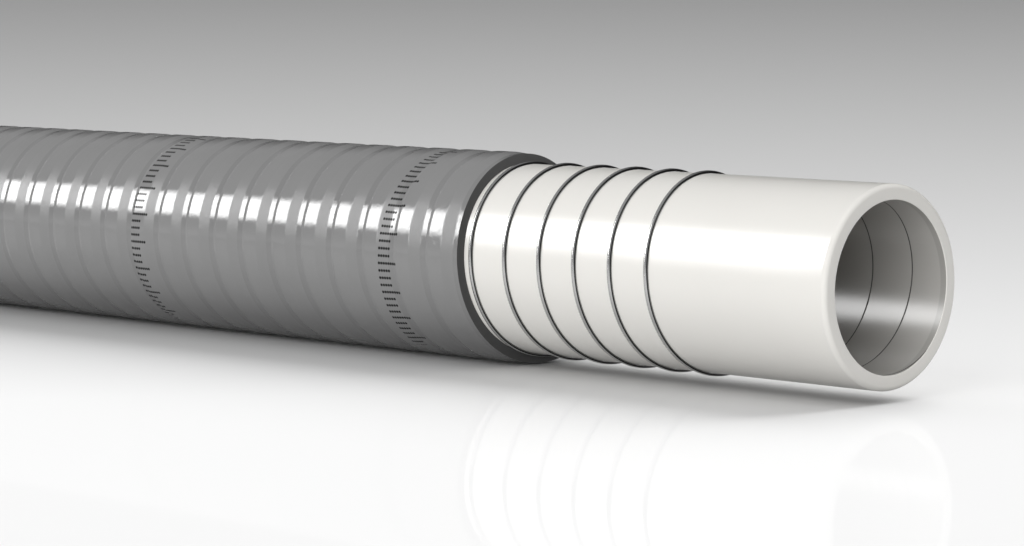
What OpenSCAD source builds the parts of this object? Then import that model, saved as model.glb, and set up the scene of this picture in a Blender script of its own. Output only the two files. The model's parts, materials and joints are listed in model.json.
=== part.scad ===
// Wire-reinforced PVC suction hose, cut back in steps to show how it is made.
// A smooth white liner carries one steel wire, wound round it as a right-handed helix.
// The wire is round and half sunk in the liner, so it is drawn as the half that stands proud.
// A grey ribbed cover grips the wire, and it is stripped off the last stretch of the hose.
// Its edge is cut along the wire, at the foot of a rib, so it winds as the wire does.
// The hose lies along X on the ground, centred on the origin, with its bare mouth at +X.
// Clock angles run from +Y, at 0, over the top, at 90.

/* [Liner] */
// Length of the hose, from the plain end to the mouth of the liner
hose_l = 336; // [280:1:420]
// Bore of the liner, which is the nominal size of the hose
bore_d = 38; // [32:0.5:50]
// Wall thickness of the liner
liner_wall = 3.5; // [2.5:0.1:6]
// Rounding of the outer edge at the mouth
mouth_outer_r = 1.2; // [0.4:0.1:1.5]
// Rounding of the edge of the bore at the mouth
mouth_bore_r = 0.2; // [0.2:0.1:1.2]

/* [Wire] */
// Diameter of the steel wire
wire_d = 1.3; // [0.8:0.1:1.8]
// Distance from one turn of the wire to the next, which the ribs of the cover share
pitch = 11.2; // [9:0.1:14]
// Distance from the plain end of the hose to the hidden end of the wire
wire_inset = 1.5; // [1:0.5:10]
// Length of liner beyond the bare end of the wire
wire_bare = 46; // [20:1:70]

/* [Cover] */
// Length of hose beyond the furthest point of the cover
cover_bare = 103.9; // [75:0.1:155]
// Wall thickness of the cover where it passes over the wire
cover_wall = 1.9; // [1:0.05:3]
// Height of the ribs above the valleys between them
rib_h = 0.3; // [0.1:0.05:0.6]
// Width of the flat top of a rib
rib_top_w = 4.6; // [3:0.1:4.8]
// Width of the steep side of a rib, which faces the plain end
rib_riser_w = 1.4; // [0.8:0.1:2]
// Width of the flat valley in front of the steep side
valley_w = 1.5; // [0.5:0.1:2]
// Distance from the start of a rib's flat top to the wire under it
rib_lead = 0.95; // [0.4:0.05:2]

/* [Fit] */
// Clearance between the liner and what is wound or drawn over it
seat_gap = 0.05; // [0.02:0.01:0.2]
// Clearance between the wire and the groove that it lies in
wire_gap = 0.1; // [0.05:0.01:0.2]

/* [Smoothness] */
// Flats in one turn of the wire and of the ribs, a multiple of four
turn_flats = 24; // [16:4:24]
// Flats round the half section of the wire, with the one that lies on the liner
wire_flats = 5; // [4:1:6]

/* [Hidden] */
$fn = 96;

bore_r = bore_d / 2;
liner_r = bore_r + liner_wall;
cover_l = hose_l - cover_bare;
wire_r = wire_d / 2;
// Radius of the helix that the middle of the round wire follows, at the liner's surface
coil_r = liner_r + seat_gap;
cover_bore_r = liner_r + seat_gap;
groove_roof_r = coil_r + wire_r + wire_gap;
// Radius over the ribs, on which the hose lies
rib_r = groove_roof_r + cover_wall;
valley_r = rib_r - rib_h;
flat_angle = 360 / turn_flats;

// Distance from the cut edge to the middle of the wire that runs along it
wire_ahead = rib_riser_w + rib_lead;

// One lap of the cover's outside and of its bore, as [distance past the cut edge, radius]
rib_lap = [
    [0, valley_r],
    [rib_riser_w, rib_r],
    [rib_riser_w + rib_top_w, rib_r],
    [pitch - valley_w, valley_r],
];
groove_lap = [
    [0, cover_bore_r],
    [wire_ahead - wire_r, groove_roof_r],
    [wire_ahead + wire_r, groove_roof_r],
    [2 * wire_ahead, cover_bore_r],
];
lap_rows = len(rib_lap);
laps = ceil(cover_l / pitch);
rows = lap_rows * laps + 1;

// Clock angle of corner line i: the lines straddle the bottom, so that a flat lies there
function clock(i) = flat_angle * (i + 0.5);

// Distance of the cut edge from the plain end at corner line i, where it winds with the wire
function cut_x(i) = cover_l - pitch * (turn_flats - i) / turn_flats;

// Distance of the wire from the plain end at corner line i, where lines run on from turn to turn
function wire_x(i) = cut_x(i) + wire_ahead;

// Point on corner line i, for a flat whose middle lies at radius r
function corner(x, r, i) =
    let (corner_r = r / cos(flat_angle / 2))
    [x, corner_r * cos(clock(i)), corner_r * sin(clock(i))];

// Radius of a lap's profile at distance x from the plain end on corner line i
function lap_radius(lap, x, i) =
    let (
        past = x - cut_x(i),
        within = past - pitch * floor(past / pitch)
    )
    lookup(within, concat(lap, [[pitch, lap[0][1]]]));

// Helical rows of a lap on every corner line, held back at the plain end of the cover.
// A closing line lies on the first one, and goes on for one lap beyond its end.
function skin_points(lap) = [
    for (i = [0 : turn_flats])
        for (j = [0 : rows - 1])
            let (
                line = i % turn_flats,
                laps_back = laps + 1 - floor(j / lap_rows) - i / turn_flats,
                x = max(cover_l + lap[j % lap_rows][0] - pitch * laps_back, 0)
            )
            corner(x, lap_radius(lap, x, line), line)
];

// Two triangles across four corners, less any that the plain end has closed up
function split_flat(points, a, b, c, d) = [
    for (flat = [[a, b, c], [a, c, d]])
        if (points[flat[0]] != points[flat[1]]
            && points[flat[1]] != points[flat[2]]
            && points[flat[2]] != points[flat[0]])
            flat
];

// Flats of a skin, from each corner line to the next
function skin_flats(points) = [
    for (i = [0 : turn_flats - 1])
        for (j = [i * rows : (i + 1) * rows - 2])
            each split_flat(points, j, j + 1, j + rows + 1, j + rows)
];

function turned_over(flats) = [for (flat = flats) [flat[0], flat[2], flat[1]]];

function moved_on(flats, count) = [for (flat = flats) [for (k = flat) k + count]];

// Lays on the ground what is drawn round the X axis from the plain end
module on_ground() {
    translate([-hose_l / 2, 0, rib_r])
        children();
}

// Straight extruded tube with both edges of its mouth rounded
module inner_tube() {
    color([0.91, 0.90, 0.88])
        on_ground()
            rotate([0, 90, 0])
                rotate_extrude()
                    difference() {
                        translate([bore_r, 0])
                            square([liner_wall, hose_l]);
                        translate([liner_r - mouth_outer_r, hose_l - mouth_outer_r])
                            corner_waste(mouth_outer_r);
                        translate([bore_r + mouth_bore_r, hose_l - mouth_bore_r])
                            mirror([1, 0])
                                corner_waste(mouth_bore_r);
                    }
}

// What a rounding takes off a square corner
module corner_waste(r) {
    difference() {
        square(2 * r);
        circle(r);
    }
}

// The proud half of one round wire from end to end, swept along its helix
module wire_helix() {
    first = ceil((wire_inset - wire_x(0)) / pitch * turn_flats);
    last = floor((hose_l - wire_bare - wire_x(0)) / pitch * turn_flats);
    rings = last - first + 1;
    points = [
        for (i = [first : last])
            for (k = [0 : wire_flats - 1])
                let (turn = 180 * k / (wire_flats - 1))
                corner(wire_x(i) + wire_r * cos(turn), coil_r + wire_r * sin(turn), i)
    ];
    sides = [
        for (i = [0 : rings - 2])
            for (k = [0 : wire_flats - 1])
                let (
                    here = i * wire_flats,
                    next = here + wire_flats,
                    m = (k + 1) % wire_flats
                )
                each split_flat(points, here + k, here + m, next + m, next + k)
    ];
    ends = [
        [for (k = [wire_flats - 1 : -1 : 0]) k],
        [for (k = [0 : wire_flats - 1]) (rings - 1) * wire_flats + k],
    ];
    color([0.62, 0.62, 0.63])
        on_ground()
            polyhedron(points = points, faces = concat(sides, ends));
}

// Ribbed tube with a helical groove in its bore for the wire, cut square at its plain end.
// At the other end the cut winds with the wire, and a step on the far side closes it.
module outer_cover() {
    outside = skin_points(rib_lap);
    bore = skin_points(groove_lap);
    points = concat(outside, bore);
    count = len(outside);
    end_faces = [
        for (i = [0 : turn_flats - 1])
            let (here = i * rows, next = here + rows, cut = rows - 1)
            each concat(
                split_flat(points, here, next, next + count, here + count),
                split_flat(points, next + cut, here + cut, here + cut + count, next + cut + count)
            )
    ];
    step_faces = [
        for (j = [count - 1 - lap_rows : count - 2])
            each split_flat(points, j, j + 1, j + 1 + count, j + count)
    ];
    color([0.5, 0.5, 0.5])
        on_ground()
            polyhedron(
                points = points,
                faces = concat(
                    skin_flats(outside),
                    moved_on(turned_over(skin_flats(bore)), count),
                    end_faces,
                    step_faces
                )
            );
}

inner_tube();
wire_helix();
outer_cover();
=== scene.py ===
import json
import math

import bpy
import numpy as np
from mathutils import Matrix, Vector


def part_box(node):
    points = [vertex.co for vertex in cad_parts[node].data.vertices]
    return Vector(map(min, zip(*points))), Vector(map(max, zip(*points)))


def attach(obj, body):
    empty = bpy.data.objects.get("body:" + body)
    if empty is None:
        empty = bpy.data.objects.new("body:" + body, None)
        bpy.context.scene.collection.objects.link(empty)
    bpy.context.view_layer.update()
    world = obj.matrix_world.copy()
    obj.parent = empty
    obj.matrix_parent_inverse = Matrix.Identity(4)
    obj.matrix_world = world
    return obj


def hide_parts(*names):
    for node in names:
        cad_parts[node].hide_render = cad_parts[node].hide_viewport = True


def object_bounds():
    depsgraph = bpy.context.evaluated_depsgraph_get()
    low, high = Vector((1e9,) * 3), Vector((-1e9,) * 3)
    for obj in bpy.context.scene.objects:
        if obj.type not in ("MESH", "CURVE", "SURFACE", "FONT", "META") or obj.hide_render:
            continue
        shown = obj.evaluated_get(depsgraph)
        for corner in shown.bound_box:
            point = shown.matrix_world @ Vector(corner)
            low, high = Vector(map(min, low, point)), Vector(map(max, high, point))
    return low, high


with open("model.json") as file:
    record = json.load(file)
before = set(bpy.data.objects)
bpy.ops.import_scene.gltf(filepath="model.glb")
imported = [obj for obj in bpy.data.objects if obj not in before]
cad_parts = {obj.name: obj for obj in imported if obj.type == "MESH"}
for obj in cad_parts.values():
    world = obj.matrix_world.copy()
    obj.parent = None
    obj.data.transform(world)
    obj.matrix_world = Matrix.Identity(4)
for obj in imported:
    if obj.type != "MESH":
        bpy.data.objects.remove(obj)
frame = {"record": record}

cad_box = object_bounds()
MM = 0.001

# Sizes of the hose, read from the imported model
liner_low, liner_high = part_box("inner_tube")
wire_low, wire_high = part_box("wire_helix")
cover_low, cover_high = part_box("outer_cover")
mouth_mount = frame["record"]["mounts"][0]
PLAIN_END = liner_low.x
MOUTH = liner_high.x
CUT_EDGE = cover_high.x
AXIS_Z = mouth_mount["pos_m"][2]
BORE_R = mouth_mount["dims"]["r_mm"] * MM
LINER_R = (liner_high.z - liner_low.z) / 2
RIB_R = (cover_high.z - cover_low.z) / 2
MOUTH_CENTRE = Vector((MOUTH, 0, AXIS_Z))

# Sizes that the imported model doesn't state, as in the part's source
PITCH = 11.2 * MM
WIRE_R = 0.65 * MM
WIRE_AHEAD = 2.35 * MM
SEAT_GAP = 0.05 * MM
WIRE_GAP = 0.1 * MM
MOUTH_OUTER_R = 1.2 * MM
MOUTH_BORE_R = 0.2 * MM
RIB_H = 0.3 * MM
RIB_TOP_START = 1.4 * MM
RIB_TOP_W = 4.6 * MM
VALLEY_W = 1.5 * MM
STEP_CLOCK = math.radians(7.5)
COIL_R = LINER_R + SEAT_GAP

# Fine forms that only the dressed model has
RIB_FOOT = 0.5 * MM
RIB_ROUNDING = 0.25 * MM
SEAM_W = 0.26 * MM
SEAM_DEPTH = 0.08 * MM
SEAM_PAST_WIRE = 2.4 * MM

# Fineness of the meshes. FLAT_HOLD says how far from its corner a rounding's outer row lies,
# where the curve itself starts at 1.
ROUND_STEPS = 144
WIRE_SIDES = 13
RIB_ROUND_STEPS = 2
EDGE_STEPS = 8
LENGTH_STEPS = 24
FLAT_HOLD = 1.2
SHARP_ANGLE = 40
SAME_PLACE = 0.0001 * MM

# Marks on the cover: rings of ticks, each a row of dots
MARK_START = 31 * MM
MARK_SPACING = 95.5 * MM
MARK_CLOCKS = (math.radians(99), math.radians(240))
TICK_STEP = 1.8 * MM
TICKS_TO_LONG = 4
DOT_STEP = 0.78 * MM
DOT_R = 0.36 * MM
DOT_EDGE = 0.2
SHORT_DOTS = 5
LONG_DOTS = 8

# The photograph's camera
PHOTO_W = 1024
PHOTO_H = 546
CAMERA_AZIMUTH = 45.47
CAMERA_ELEVATION = 4.95
FOCAL_PX = 3330
MOUTH_DEPTH = 0.71727
MOUTH_PX = (892.05, 287.9)
SENSOR_W = 36
FAR_CLIP = 200

# Lamps: strength, where each shines from, and how wide it is in degrees
KEY = 0.74
KEY_FROM = Vector((0.26, -0.95, 0.12))
KEY_SPREAD = 60
BACK = 0.4
BACK_FROM = Vector((0, 0.9, 0.42))
BACK_SPREAD = 40
FLOOR_LIGHT = 0.85
FLOOR_LIGHT_FROM = Vector((-0.05, 0.78, 0.75))
FLOOR_LIGHT_SPREAD = 50
FLOOR_FILL = 0.4
FLOOR_FILL_FROM = Vector((0.1, -0.9, 0.4))
FLOOR_FILL_SPREAD = 50
INNER_LIGHT = 0.6
INNER_FROM = Vector((-0.62, -0.61, 0.477))
INNER_SPREAD = 22

# Sky, whose light falls off from the top to the front. The open floor gets OPEN_SKY of it.
SKY_TOP = 0.6
SKY_FRONT = 0.08
SKY_TURN = (30, 75)
OPEN_SKY = 0.52

# Softbox and room that show in reflections. Their directions are in degrees: along runs
# from square across the hose towards the plain end, and over from the top to the front.
# ROOM_TURN is no angle, but the sum of the unit direction's parts to the left and in front.
SOFTBOX = 15
SOFTBOX_RIGHT = 4.5
SOFTBOX_TOP = 39.5
SOFTBOX_BOTTOM = 65
SOFTBOX_EDGE = 5
SOFTBOX_TALLER = 7
SOFTBOX_DEEPER = 1.7
SOFTBOX_STEP = (45.3, 45.8)
SOFTBOX_LEFT_END = (55.5, 57.5)
SOFTBOX_RIGHT_END = (32, 36)
ROOM_FAR = 0.2
ROOM_NEAR = 0.36
ROOM_TURN = (-0.4, 0.5)
ROOM_BEHIND = 0.15
BEHIND_TURN = (-65, -35)
HORIZON = 0.7
HORIZON_TURN = (74, 92)

# Floor, whose grey falls off with distance from a bright middle: a painted pool of light
FLOOR_SIZE = 60
FLOOR_CENTRE = (0.62, -0.559)
FLOOR_FAR = 0.29
FLOOR_FALL = 0.468
FLOOR_MOST = 0.93
FLOOR_MIRROR = 0.09
FLOOR_MIRROR_BLUR = 0.03
FLOOR_BOUNCE = 0.18

# Shades and gloss of the surfaces, where a plain surface has 1.
# HEIGHT values run from -1 at the bottom of the hose to 1 at its top.
PLASTIC_IOR = 1.5
DRIFT_SCALE = 40
DRIFT_DETAIL = 3
DRIFT_SPAN = (0.3, 0.7)
GRAIN_DETAIL = 2
SEAM_LINE_HALF_W = 0.6 * SEAM_W
SEAM_LINE_EDGE = 0.25
SEAM_DARKER = -0.85
# Painted shade on the lip at the mouth
LIP_EDGE = (1.9 * MM, 1.6 * MM)
LIP_PAINTED_SHADE = 0.84
# Painted shade in the rib valleys and painted light on the risers
VALLEY_PAINTED_SHADE = -0.1
RISER_PAINTED_LIGHT = 0.07
INK_DARKER = -0.93
INK_DULLER = -0.92
FLANK_DULLER = -0.4
FLANK_BLUR = 2.5
SHADE_EDGE = 0.02
GLOSS_EDGE = 0.01
# Painted shade on the cover's underside
COVER_UNDER_HEIGHT = (-0.85, -0.35)
COVER_UNDER_PAINTED_SHADE = 0.72
# Less gloss on the liner's underside: painted shade in its reflection
LINER_UNDER_HEIGHT = (-0.98, -0.85)
LINER_UNDER_PAINTED_GLOSS_SHADE = 0.15
# Painted shade at the wire's foot and along a line on its side to the mouth, and painted light over
# its top
WIRE_FOOT = (0.05 * MM, 0.15 * MM)
WIRE_FOOT_PAINTED_SHADE = 0.2
WIRE_LINE_NORMAL = (0.7, 0.96)
WIRE_LINE_EDGE = 0.05
WIRE_LINE_HEIGHT = (-0.2, 0.7)
WIRE_LINE_PAINTED_SHADE = (-0.97, -0.84)
WIRE_LIFT_HEIGHT = (0, 0.7)
WIRE_TOP_PAINTED_LIGHT = 1.4


def make_camera():
    azimuth = math.radians(CAMERA_AZIMUTH)
    elevation = math.radians(CAMERA_ELEVATION)
    forward = Vector((
        -math.sin(azimuth) * math.cos(elevation),
        math.cos(azimuth) * math.cos(elevation),
        -math.sin(elevation),
    ))
    right = forward.cross(Vector((0, 0, 1))).normalized()
    up = right.cross(forward)
    across = (MOUTH_PX[0] - PHOTO_W / 2) / FOCAL_PX
    down = (MOUTH_PX[1] - PHOTO_H / 2) / FOCAL_PX
    place = MOUTH_CENTRE - MOUTH_DEPTH * (forward + across * right - down * up)
    turn = Matrix((right, up, -forward)).transposed()
    data = bpy.data.cameras.new("camera")
    data.sensor_width = SENSOR_W
    data.lens = FOCAL_PX * SENSOR_W / PHOTO_W
    data.clip_end = FAR_CLIP
    camera = bpy.data.objects.new("camera", data)
    camera.matrix_world = Matrix.Translation(place) @ turn.to_4x4()
    bpy.context.scene.collection.objects.link(camera)
    bpy.context.scene.camera = camera


# Meshes wound round the hose's axis

def clock(step):
    return STEP_CLOCK + 2 * math.pi * step / ROUND_STEPS


def on_axis(x, r, angle):
    return (x, r * math.cos(angle), AXIS_Z + r * math.sin(angle))


def wire_x(angle):
    return CUT_EDGE - PITCH + WIRE_AHEAD + PITCH * (angle - STEP_CLOCK) / (2 * math.pi)


def wound_grid(lap, start, laps, low, high):
    """Rows of a lap's outline, wound from start: one list of (x, r) a step.
    The last step lies on the first one's clock, one lap further on."""
    past = np.array([p[0] for p in lap] + [PITCH])
    radii = np.array([p[1] for p in lap] + [lap[0][1]])
    grid = []
    for step in range(ROUND_STEPS + 1):
        shift = start + PITCH * step / ROUND_STEPS
        rows = [shift + PITCH * k + p for k in range(laps) for p in past[:-1]]
        rows = np.clip(rows + [shift + PITCH * laps], low, high)
        grid.append(list(zip(rows, np.interp((rows - shift) % PITCH, past, radii))))
    return grid


def grid_mesh(grid, verts, faces, outward):
    """Adds a wound grid to verts and faces, and returns its columns of vertices."""
    index = {}
    columns = []
    for step, rows in enumerate(grid):
        column = []
        for x, r in rows:
            key = (step % ROUND_STEPS, round(x / SAME_PLACE))
            if key not in index:
                index[key] = len(verts)
                verts.append(on_axis(x, r, clock(step)))
            column.append(index[key])
        columns.append(column)
    for here, there in zip(columns, columns[1:]):
        for j in range(len(here) - 1):
            face = [here[j], here[j + 1], there[j + 1], there[j]]
            face = [v for k, v in enumerate(face) if v != face[k - 1]]
            if len(face) > 2:
                faces.append(face[::-1] if outward else face)
    return columns


def join_chains(chain_a, chain_b, faces):
    for k in range(len(chain_a) - 1):
        faces.append([chain_a[k], chain_a[k + 1], chain_b[k + 1], chain_b[k]])


def closed(chain):
    return chain + chain[:1]


def make_object(name, verts, faces, materials):
    mesh = bpy.data.meshes.new(name)
    mesh.from_pydata([tuple(v) for v in verts], [], faces)
    mesh.validate()
    mesh.shade_smooth()
    mesh.set_sharp_from_angle(angle=math.radians(SHARP_ANGLE))
    for material in materials:
        mesh.materials.append(material)
    piece = bpy.data.objects.new(name, mesh)
    bpy.context.scene.collection.objects.link(piece)
    return piece


def dress(piece, node):
    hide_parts(node)
    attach(piece, "root")


def make_cover(materials):
    valley_r = RIB_R - RIB_H
    roof_r = COIL_R + WIRE_R + WIRE_GAP
    corners = [
        (RIB_FOOT, valley_r),
        (RIB_TOP_START, RIB_R),
        (RIB_TOP_START + RIB_TOP_W, RIB_R),
        (PITCH - VALLEY_W, valley_r),
    ]
    outside = [(0, valley_r)] + rounded_lap(corners, RIB_ROUNDING)
    groove = [
        (0, LINER_R + SEAT_GAP),
        (WIRE_AHEAD - WIRE_R, roof_r),
        (WIRE_AHEAD + WIRE_R, roof_r),
        (2 * WIRE_AHEAD, LINER_R + SEAT_GAP),
    ]
    laps = math.ceil((CUT_EDGE - PLAIN_END) / PITCH)
    start = CUT_EDGE - PITCH * (laps + 1)
    verts, faces = [], []
    skin = grid_mesh(wound_grid(outside, start, laps, PLAIN_END, CUT_EDGE), verts, faces, True)
    bore = grid_mesh(wound_grid(groove, start, laps, PLAIN_END, CUT_EDGE), verts, faces, False)
    join_chains([c[0] for c in bore], [c[0] for c in skin], faces)
    skin_faces = len(faces)
    join_chains([c[-1] for c in skin], [c[-1] for c in bore], faces)
    # A square step on the far side closes the wound edge
    faces.append(skin[-1][-1 - len(outside):][::-1] + bore[-1][-1 - len(groove):])
    cover = make_object("cover", verts, faces, materials)
    # The wound edge and the step get a darker and duller grey than the skin
    for polygon in cover.data.polygons:
        polygon.material_index = 1 if polygon.index >= skin_faces else 0
    dress(cover, "outer_cover")
    return cover


def rounded_lap(corners, radius):
    """A lap's outline with each corner turned into a short curve.
    A row close to each end of the curve keeps the flats beside it flat in the light."""
    lap = []
    count = len(corners)
    for k, (x, r) in enumerate(corners):
        before = Vector(corners[k - 1]) - Vector((PITCH if k == 0 else 0, 0))
        after = Vector(corners[(k + 1) % count]) + Vector((PITCH if k == count - 1 else 0, 0))
        here = Vector((x, r))
        a = here + (before - here).normalized() * radius
        b = here + (after - here).normalized() * radius
        curve = [here + (a - here) * FLAT_HOLD]
        for n in range(RIB_ROUND_STEPS + 1):
            t = n / RIB_ROUND_STEPS
            curve.append(a * (1 - t) ** 2 + here * 2 * t * (1 - t) + b * t ** 2)
        curve.append(here + (b - here) * FLAT_HOLD)
        lap += [(point.x, point.y) for point in curve]
    return lap


def make_liner(materials):
    verts, faces = [], []
    bore_end = MOUTH - MOUTH_BORE_R
    seam = [
        (0, BORE_R),
        (SEAM_W / 2, BORE_R),
        (SEAM_W, BORE_R + SEAM_DEPTH),
        (SEAM_W * 3 / 2, BORE_R),
        (SEAM_W * 2, BORE_R),
    ]
    seam_start = CUT_EDGE + WIRE_AHEAD + SEAM_PAST_WIRE - SEAM_W
    laps_before = math.ceil((seam_start - PLAIN_END) / PITCH) + 1
    laps_after = math.ceil((bore_end - seam_start) / PITCH)
    seam_grid = wound_grid(
        seam, seam_start - PITCH * laps_before, laps_before + laps_after, PLAIN_END, bore_end
    )
    columns = grid_mesh(seam_grid, verts, faces, False)
    bore_faces = len(faces)
    outer_start = MOUTH - MOUTH_OUTER_R
    bare_l = outer_start - PLAIN_END
    outline = [(PLAIN_END + bare_l * k / LENGTH_STEPS, LINER_R) for k in range(LENGTH_STEPS + 1)]
    for n in range(1, EDGE_STEPS + 1):
        t = math.pi / 2 * n / EDGE_STEPS
        outline.append((
            outer_start + MOUTH_OUTER_R * math.sin(t),
            LINER_R - MOUTH_OUTER_R * (1 - math.cos(t)),
        ))
    for n in range(EDGE_STEPS):
        t = math.pi / 2 * n / EDGE_STEPS
        outline.append((
            bore_end + MOUTH_BORE_R * math.cos(t),
            BORE_R + MOUTH_BORE_R * (1 - math.sin(t)),
        ))
    chain = [c[0] for c in columns]
    for x, r in outline:
        ring = [len(verts) + step for step in range(ROUND_STEPS)]
        verts += [on_axis(x, r, clock(step)) for step in range(ROUND_STEPS)]
        join_chains(chain, closed(ring), faces)
        chain = closed(ring)
    join_chains(chain, [c[-1] for c in columns], faces)
    liner = make_object("liner", verts, faces, materials)
    # The bore is greyer than the outside
    for polygon in liner.data.polygons:
        polygon.material_index = 1 if polygon.index < bore_faces else 0
    dress(liner, "inner_tube")
    return liner


def make_wire(material):
    turns = (wire_high.x - wire_low.x - 2 * WIRE_R) / PITCH
    start = STEP_CLOCK + 2 * math.pi * (wire_low.x + WIRE_R - wire_x(STEP_CLOCK)) / PITCH
    rings = round(turns * ROUND_STEPS)
    verts, faces = [], []
    for ring in range(rings + 1):
        angle = start + 2 * math.pi * turns * ring / rings
        for side in range(WIRE_SIDES):
            t = math.pi * side / (WIRE_SIDES - 1)
            x = wire_x(angle) + WIRE_R * math.cos(t)
            verts.append(on_axis(x, COIL_R + WIRE_R * math.sin(t), angle))
    for ring in range(rings):
        here = [ring * WIRE_SIDES + k for k in range(WIRE_SIDES)]
        there = [v + WIRE_SIDES for v in here]
        join_chains(closed(here), closed(there), faces)
    faces.append(list(range(WIRE_SIDES))[::-1])
    faces.append([rings * WIRE_SIDES + k for k in range(WIRE_SIDES)])
    wire = make_object("wire", verts, faces, [material])
    dress(wire, "wire_helix")
    return wire


# Materials

class Graph:
    """A node tree, with a short call for each kind of node that repeats."""

    def __init__(self, tree):
        self.nodes = tree.nodes
        self.links = tree.links

    def add(self, kind, inputs=(), **settings):
        """Adds a node. Each input gets a plain value, or a link from another node's output."""
        node = self.nodes.new("ShaderNode" + kind)
        for name, value in settings.items():
            setattr(node, name, value)
        for key, value in dict(inputs).items():
            if isinstance(value, bpy.types.NodeSocket):
                self.links.new(value, node.inputs[key])
            else:
                node.inputs[key].default_value = value
        return node

    def math(self, operation, *values):
        return self.add("Math", enumerate(values), operation=operation).outputs[0]

    def axes(self, vector):
        return self.add("SeparateXYZ", {0: vector}).outputs

    def ramp(self, value, span, at_low, at_high, smooth=True):
        """Goes from at_low to at_high while the value crosses the span."""
        kind = "SMOOTHSTEP" if smooth else "LINEAR"
        inputs = {
            "Value": value,
            "From Min": span[0],
            "From Max": span[1],
            "To Min": at_low,
            "To Max": at_high,
        }
        return self.add("MapRange", inputs, interpolation_type=kind).outputs["Result"]

    def step(self, value, middle, half_w, at_low, at_high):
        return self.ramp(value, (middle - half_w, middle + half_w), at_low, at_high)

    def stripe(self, value, low, high, edge):
        """1 between low and high, and 0 outside them, with soft edges."""
        rise = self.step(value, low, edge, 0, 1)
        fall = self.step(value, high, edge, 1, 0)
        return self.math("MULTIPLY", rise, fall)


def new_material(name):
    material = bpy.data.materials.new(name)
    material.use_nodes = True
    material.node_tree.nodes.clear()
    return material, Graph(material.node_tree)


def surface(
    name, tone, drift, roughness, grain, grain_height,
    metallic=0.0, specular=0.5, shade=None, shine=None
):
    """Principled surface whose tone and roughness drift a little, and whose skin has a fine grain.
    shade adds nodes that change the tone in places, and returns its factor.
    shine does so for the gloss, and returns the factors of its strength and its roughness."""
    material, graph = new_material(name)
    place = graph.add("TexCoord").outputs["Object"]
    cloud = graph.add("TexNoise", {"Vector": place, "Scale": DRIFT_SCALE, "Detail": DRIFT_DETAIL})
    level = graph.ramp(cloud.outputs["Fac"], DRIFT_SPAN, 1 - drift, 1 + drift, smooth=False)
    gloss = graph.math("MULTIPLY", level, roughness)
    if shine:
        strength, blur = shine(graph, place)
        gloss = graph.math("MULTIPLY", gloss, blur)
        specular = graph.math("MULTIPLY", strength, specular)
    if shade:
        level = graph.math("MULTIPLY", level, shade(graph, place))
    tint = graph.add(
        "Mix", {"Factor": 1, "A": (*tone, 1), "B": level}, data_type="RGBA", blend_type="MULTIPLY"
    )
    grit = graph.add("TexNoise", {"Vector": place, "Scale": grain, "Detail": GRAIN_DETAIL})
    bump = graph.add(
        "Bump", {"Strength": 1, "Distance": grain_height, "Height": grit.outputs["Fac"]}
    )
    shader = graph.add("BsdfPrincipled", {
        "Base Color": tint.outputs["Result"],
        "Metallic": metallic,
        "Roughness": gloss,
        "IOR": PLASTIC_IOR,
        "Specular IOR Level": specular,
        "Normal": bump.outputs["Normal"],
    })
    graph.add("OutputMaterial", {"Surface": shader.outputs["BSDF"]})
    return material


def round_axis(graph, place):
    """Distance along the hose's axis, distance from it, and angle round it."""
    x, y, z = graph.axes(place)
    height = graph.math("SUBTRACT", z, AXIS_Z)
    square = graph.math("MULTIPLY_ADD", height, height, graph.math("MULTIPLY", y, y))
    return x, graph.math("SQRT", square), graph.math("ARCTAN2", height, y)


def round_height(graph, place):
    """How high the place lies round the axis, from -1 at the bottom to 1 at the top."""
    return graph.math("SINE", round_axis(graph, place)[2])


def past_wire(graph, place):
    """Distance past the last turn of the wire, as a share of the pitch from 0 to 1."""
    x, _, angle = round_axis(graph, place)
    turn = graph.math("DIVIDE", graph.math("SUBTRACT", angle, STEP_CLOCK), 2 * math.pi)
    lap = graph.math("DIVIDE", graph.math("SUBTRACT", x, CUT_EDGE + WIRE_AHEAD), PITCH)
    return graph.math("WRAP", graph.math("SUBTRACT", lap, turn), 1, 0)


def rib_places():
    """Where the parts of a rib lie past the wire, as shares of the pitch."""
    rib_start = 1 - WIRE_AHEAD / PITCH
    return {
        "slope_start": rib_start + (RIB_TOP_START + RIB_TOP_W) / PITCH - 1,
        "valley_start": rib_start - VALLEY_W / PITCH,
        "riser_start": rib_start + RIB_FOOT / PITCH,
        "riser_end": rib_start + RIB_TOP_START / PITCH,
    }


def dark_seam_and_painted_lip(graph, place):
    """Darkens the seam wound along the bore, and slightly the lip at the mouth with painted shade."""
    half = SEAM_LINE_HALF_W / PITCH
    middle = SEAM_PAST_WIRE / PITCH
    edge = half * SEAM_LINE_EDGE
    line = graph.stripe(past_wire(graph, place), middle - half, middle + half, edge)
    seam = graph.math("MULTIPLY_ADD", line, SEAM_DARKER, 1)
    x = round_axis(graph, place)[0]
    # Painted shade on the lip at the mouth
    lip = graph.ramp(x, (MOUTH - LIP_EDGE[0], MOUTH - LIP_EDGE[1]), 1, LIP_PAINTED_SHADE)
    return graph.math("MULTIPLY", seam, lip)


def under_gloss_painted_shade(graph, place):
    """Less gloss along the liner's underside, which lies close to the floor: painted shade in its
    reflection.
    """
    return graph.ramp(round_height(graph, place), LINER_UNDER_HEIGHT, LINER_UNDER_PAINTED_GLOSS_SHADE, 1), 1


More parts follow.
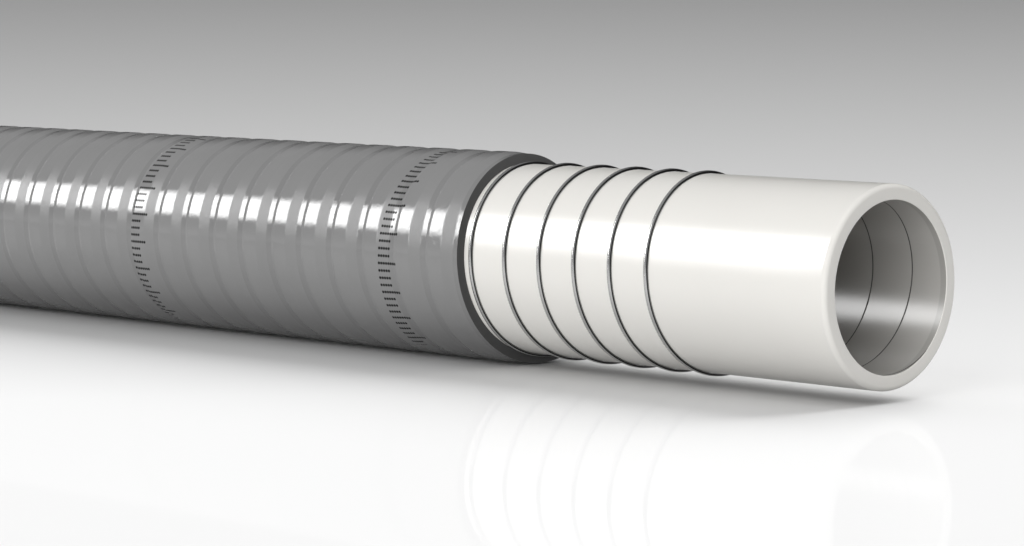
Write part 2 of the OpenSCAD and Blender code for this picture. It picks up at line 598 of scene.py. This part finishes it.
def marks(graph, place):
    """1 on the dots of the ticks and 0 off them."""
    x, _, angle = round_axis(graph, place)
    around = graph.math("WRAP", angle, 2 * math.pi, 0)
    past_ring = graph.math("WRAP", graph.math("SUBTRACT", x, MARK_START), MARK_SPACING, 0)
    dots = graph.math("DIVIDE", past_ring, DOT_STEP)
    ticks = graph.math(
        "DIVIDE", graph.math("SUBTRACT", around, MARK_CLOCKS[0]), TICK_STEP / RIB_R
    )
    tick = graph.math("MODULO", graph.math("FLOOR", ticks), TICKS_TO_LONG)
    is_long = graph.math("LESS_THAN", tick, 0.5)
    count = graph.math("MULTIPLY_ADD", is_long, LONG_DOTS - SHORT_DOTS, SHORT_DOTS)
    across = off_middle(graph, dots, DOT_STEP)
    up = off_middle(graph, ticks, TICK_STEP)
    square = graph.math("MULTIPLY_ADD", up, up, graph.math("MULTIPLY", across, across))
    dot = graph.step(graph.math("SQRT", square), DOT_R, DOT_R * DOT_EDGE, 1, 0)
    ring = graph.math(
        "MULTIPLY",
        graph.math("GREATER_THAN", around, MARK_CLOCKS[0]),
        graph.math("LESS_THAN", around, MARK_CLOCKS[1]),
    )
    row = graph.math("MULTIPLY", dot, graph.math("LESS_THAN", dots, count))
    return graph.math("MULTIPLY", row, ring)


def off_middle(graph, count, size):
    """Distance from the middle of the cell that the count has reached."""
    return graph.math("MULTIPLY", graph.math("SUBTRACT", graph.math("FRACT", count), 0.5), size)


def rib_print_and_painted_light(graph, place):
    """Painted shade in the valleys between the ribs, a little darker, and painted light on the steep
    side of a rib, a little lighter. The marks are black, and painted shade makes the underside
    darker."""
    phase = past_wire(graph, place)
    rib = rib_places()
    valley = graph.stripe(phase, rib["valley_start"], rib["riser_start"], SHADE_EDGE)
    riser = graph.stripe(phase, rib["riser_start"], rib["riser_end"], SHADE_EDGE)
    # Painted shade in the valleys and painted light on the risers
    shade = graph.math("MULTIPLY_ADD", valley, VALLEY_PAINTED_SHADE, 1)
    shade = graph.math("MULTIPLY_ADD", riser, RISER_PAINTED_LIGHT, shade)
    ink = graph.math("MULTIPLY_ADD", marks(graph, place), INK_DARKER, 1)
    # Painted shade towards the underside
    under = graph.ramp(round_height(graph, place), COVER_UNDER_HEIGHT, COVER_UNDER_PAINTED_SHADE, 1)
    return graph.math("MULTIPLY", graph.math("MULTIPLY", shade, ink), under)


def rib_gloss(graph, place):
    """Clear gloss on the rib tops and in the valleys, and a dull one on the flanks."""
    phase = past_wire(graph, place)
    rib = rib_places()
    riser = graph.stripe(phase, rib["riser_start"], rib["riser_end"], GLOSS_EDGE)
    slope = graph.stripe(phase, rib["slope_start"], rib["valley_start"], GLOSS_EDGE)
    flank = graph.math("MAXIMUM", riser, slope)
    strength = graph.math("MULTIPLY_ADD", flank, FLANK_DULLER, 1)
    bare = graph.math("MULTIPLY_ADD", marks(graph, place), INK_DULLER, 1)
    blur = graph.math("MULTIPLY_ADD", flank, FLANK_BLUR, 1)
    return graph.math("MULTIPLY", strength, bare), blur


def wire_painted_light_and_shade(graph, place):
    """Painted shade on the wire where it meets the liner, and along a line on the side that faces the
    mouth.
    Over the top, painted light makes the wire lighter and the line fainter."""
    r = round_axis(graph, place)[1]
    height = round_height(graph, place)
    # Painted shade where the wire meets the liner
    foot = graph.ramp(r, (LINER_R + WIRE_FOOT[0], LINER_R + WIRE_FOOT[1]), WIRE_FOOT_PAINTED_SHADE, 1)
    # Painted shade along a line on the side that faces the mouth
    to_mouth = graph.axes(graph.add("NewGeometry").outputs["Normal"])[0]
    line = graph.stripe(to_mouth, *WIRE_LINE_NORMAL, WIRE_LINE_EDGE)
    darker = graph.ramp(height, WIRE_LINE_HEIGHT, *WIRE_LINE_PAINTED_SHADE, smooth=False)
    flank = graph.math("MULTIPLY_ADD", line, darker, 1)
    # Painted light over the top of the wire
    lift = graph.ramp(height, WIRE_LIFT_HEIGHT, 1, WIRE_TOP_PAINTED_LIGHT)
    return graph.math("MULTIPLY", foot, graph.math("MULTIPLY", flank, lift))


def linear(level):
    """Linear value of an 8-bit grey level."""
    v = level / 255
    return v / 12.92 if v <= 0.04045 else ((v + 0.055) / 1.055) ** 2.4


def rgb(red, green, blue):
    return (linear(red), linear(green), linear(blue))


# Stage and lights

def eye_rays(graph):
    """1 for rays that show a thing, straight or in a reflection, and 0 for rays that light it."""
    rays = graph.add("LightPath").outputs
    seen = graph.math("MAXIMUM", rays["Is Camera Ray"], rays["Is Glossy Ray"])
    return graph.math("MAXIMUM", seen, rays["Is Transmission Ray"])


def open_floor_light():
    """Light that falls on the floor where nothing stands in its way."""
    lamps = [(FLOOR_LIGHT, FLOOR_LIGHT_FROM), (FLOOR_FILL, FLOOR_FILL_FROM)]
    return OPEN_SKY + sum(light * source.normalized().z for light, source in lamps)


def make_floor():
    bpy.ops.mesh.primitive_plane_add(size=FLOOR_SIZE, location=(0, 0, cad_box[0].z))
    floor = bpy.context.object
    floor.name = "floor"
    material, graph = new_material("floor")
    place = graph.add("TexCoord").outputs["Object"]
    # The grey falls off from FLOOR_CENTRE in a painted pool of light
    offset = graph.add("VectorMath", {0: place, 1: (*FLOOR_CENTRE, 0)}, operation="DISTANCE")
    fall = graph.math("DIVIDE", FLOOR_FALL, offset.outputs["Value"])
    level = graph.math("MINIMUM", graph.math("ADD", fall, FLOOR_FAR), FLOOR_MOST)
    level = graph.math("DIVIDE", level, open_floor_light())
    shown = graph.add("BsdfDiffuse", {"Color": level})
    mirror = graph.add("BsdfGlossy", {
        "Color": (FLOOR_MIRROR, FLOOR_MIRROR, FLOOR_MIRROR, 1),
        "Roughness": FLOOR_MIRROR_BLUR,
    })
    both = graph.add("AddShader", {0: shown.outputs["BSDF"], 1: mirror.outputs["BSDF"]})
    bounce = graph.add("BsdfDiffuse", {"Color": (FLOOR_BOUNCE, FLOOR_BOUNCE, FLOOR_BOUNCE, 1)})
    pick = graph.add("MixShader", {
        0: eye_rays(graph),
        1: bounce.outputs["BSDF"],
        2: both.outputs["Shader"],
    })
    graph.add("OutputMaterial", {"Surface": pick.outputs["Shader"]})
    floor.data.materials.append(material)
    return floor


def softbox(graph, along, over):
    """Softbox on the left in front. Its right end, which shows in the liner, is taller and weaker."""
    taller = graph.ramp(along, SOFTBOX_STEP, SOFTBOX_TALLER, 0, smooth=False)
    above = graph.math("ADD", over, taller)
    below = graph.math("MULTIPLY_ADD", taller, -SOFTBOX_DEEPER, over)
    top = graph.step(above, SOFTBOX_TOP, SOFTBOX_EDGE, 0, 1)
    bottom = graph.step(below, SOFTBOX_BOTTOM, SOFTBOX_EDGE, 1, 0)
    right_end = graph.ramp(along, SOFTBOX_RIGHT_END, 0, 1)
    left_end = graph.ramp(along, SOFTBOX_LEFT_END, 1, 0)
    width = graph.math("MULTIPLY", right_end, left_end)
    box = graph.math("MULTIPLY", graph.math("MULTIPLY", top, bottom), width)
    strength = graph.ramp(along, SOFTBOX_STEP, SOFTBOX_RIGHT, SOFTBOX, smooth=False)
    return graph.math("MULTIPLY", box, strength)


def room(graph, left, front, over):
    """Grey room that is brighter on the left and in front, with a bright horizon in front."""
    side = graph.math("ADD", left, front)
    walls = graph.ramp(side, ROOM_TURN, ROOM_FAR, ROOM_NEAR)
    walls = graph.math("MULTIPLY", walls, graph.ramp(over, BEHIND_TURN, ROOM_BEHIND, 1))
    return graph.math("ADD", walls, graph.ramp(over, HORIZON_TURN, 0, HORIZON))


def make_world():
    """A sky for light, and a softbox in a room for first reflections. The camera sees plain grey."""
    world = bpy.data.worlds.new("world")
    bpy.context.scene.world = world
    world.use_nodes = True
    graph = Graph(world.node_tree)
    x, y, z = graph.axes(graph.add("TexCoord").outputs["Generated"])
    left = graph.math("MULTIPLY", x, -1)
    front = graph.math("MULTIPLY", y, -1)
    along = graph.math("DEGREES", graph.math("ARCSINE", left))
    over = graph.math("DEGREES", graph.math("ARCTAN2", front, z))
    gloss = graph.math("ADD", softbox(graph, along, over), room(graph, left, front, over))
    rays = graph.add("LightPath").outputs
    sky = graph.ramp(over, SKY_TURN, SKY_TOP, SKY_FRONT)
    unseen = graph.math("SUBTRACT", 1, rays["Is Camera Ray"])
    seen = graph.math("MULTIPLY", rays["Is Camera Ray"], FLOOR_FAR)
    sky = graph.math("MULTIPLY_ADD", sky, unseen, seen)
    # A first glossy ray counts 1, and one that comes after any other bounce counts more
    bounces = graph.math("MULTIPLY_ADD", rays["Diffuse Depth"], 2, rays["Glossy Depth"])
    is_first = graph.math("LESS_THAN", bounces, 1.5)
    first_gloss = graph.math("MULTIPLY", rays["Is Glossy Ray"], is_first)
    pick = graph.add("Mix", {"Factor": first_gloss, "A": sky, "B": gloss})
    back = graph.nodes["Background"]
    back.inputs["Color"].default_value = (1, 1, 1, 1)
    graph.links.new(pick.outputs["Result"], back.inputs["Strength"])


def add_lamp(name, light, source, spread, lit):
    """Wide soft lamp that lights only the given group of pieces, and shows in no reflection."""
    data = bpy.data.lights.new(name, "SUN")
    data.energy = light * math.pi
    data.angle = math.radians(spread)
    lamp = bpy.data.objects.new(name, data)
    lamp.rotation_euler = source.to_track_quat("Z", "Y").to_euler()
    lamp.visible_glossy = False
    lamp.light_linking.receiver_collection = lit
    bpy.context.scene.collection.objects.link(lamp)
    return lamp


def add_gleam(name, light, source, spread, lit):
    """Lamp that only shows as a soft band in the gloss of what it lights, and throws no shadow."""
    lamp = add_lamp(name, light, source, spread, lit)
    lamp.visible_glossy = True
    lamp.visible_diffuse = False
    lamp.data.use_shadow = False


def group(name, pieces):
    collection = bpy.data.collections.new(name)
    for piece in pieces:
        collection.objects.link(piece)
    return collection


bpy.context.scene.view_settings.view_transform = "Standard"
make_camera()
make_world()

liner_skin = surface(
    "liner_skin", rgb(246, 244, 239), drift=0.01, roughness=0.2,
    grain=900, grain_height=0.01 * MM, specular=0.45, shine=under_gloss_painted_shade
)
bore_skin = surface(
    "bore_skin", rgb(186, 184, 180), drift=0.02, roughness=0.3,
    grain=900, grain_height=0.01 * MM, shade=dark_seam_and_painted_lip
)
wire_skin = surface(
    "wire_skin", rgb(190, 190, 190), drift=0.05, roughness=0.15,
    grain=2500, grain_height=0.01 * MM, metallic=1.0, shade=wire_painted_light_and_shade
)
cover_skin = surface(
    "cover_skin", rgb(140, 140, 140), drift=0.03, roughness=0.07,
    grain=700, grain_height=0.02 * MM, shade=rib_print_and_painted_light, shine=rib_gloss
)
cut_skin = surface(
    "cut_skin", rgb(88, 88, 88), drift=0.05, roughness=0.8,
    grain=700, grain_height=0.03 * MM, specular=0.02
)
liner = make_liner([liner_skin, bore_skin])
wire = make_wire(wire_skin)
cover = make_cover([cover_skin, cut_skin])
floor = make_floor()

lit_hose = group("lit_hose", [liner, wire, cover])
key = add_lamp("key", KEY, KEY_FROM, KEY_SPREAD, lit_hose)
# The floor throws no shadow of the key light onto the hose
key.light_linking.blocker_collection = lit_hose
add_lamp("back_light", BACK, BACK_FROM, BACK_SPREAD, lit_hose)
lit_floor = group("lit_floor", [floor])
add_lamp("floor_light", FLOOR_LIGHT, FLOOR_LIGHT_FROM, FLOOR_LIGHT_SPREAD, lit_floor)
add_lamp("floor_fill", FLOOR_FILL, FLOOR_FILL_FROM, FLOOR_FILL_SPREAD, lit_floor)
lit_inside = group("lit_inside", [liner])
add_gleam("inner_light", INNER_LIGHT, INNER_FROM, INNER_SPREAD, lit_inside)
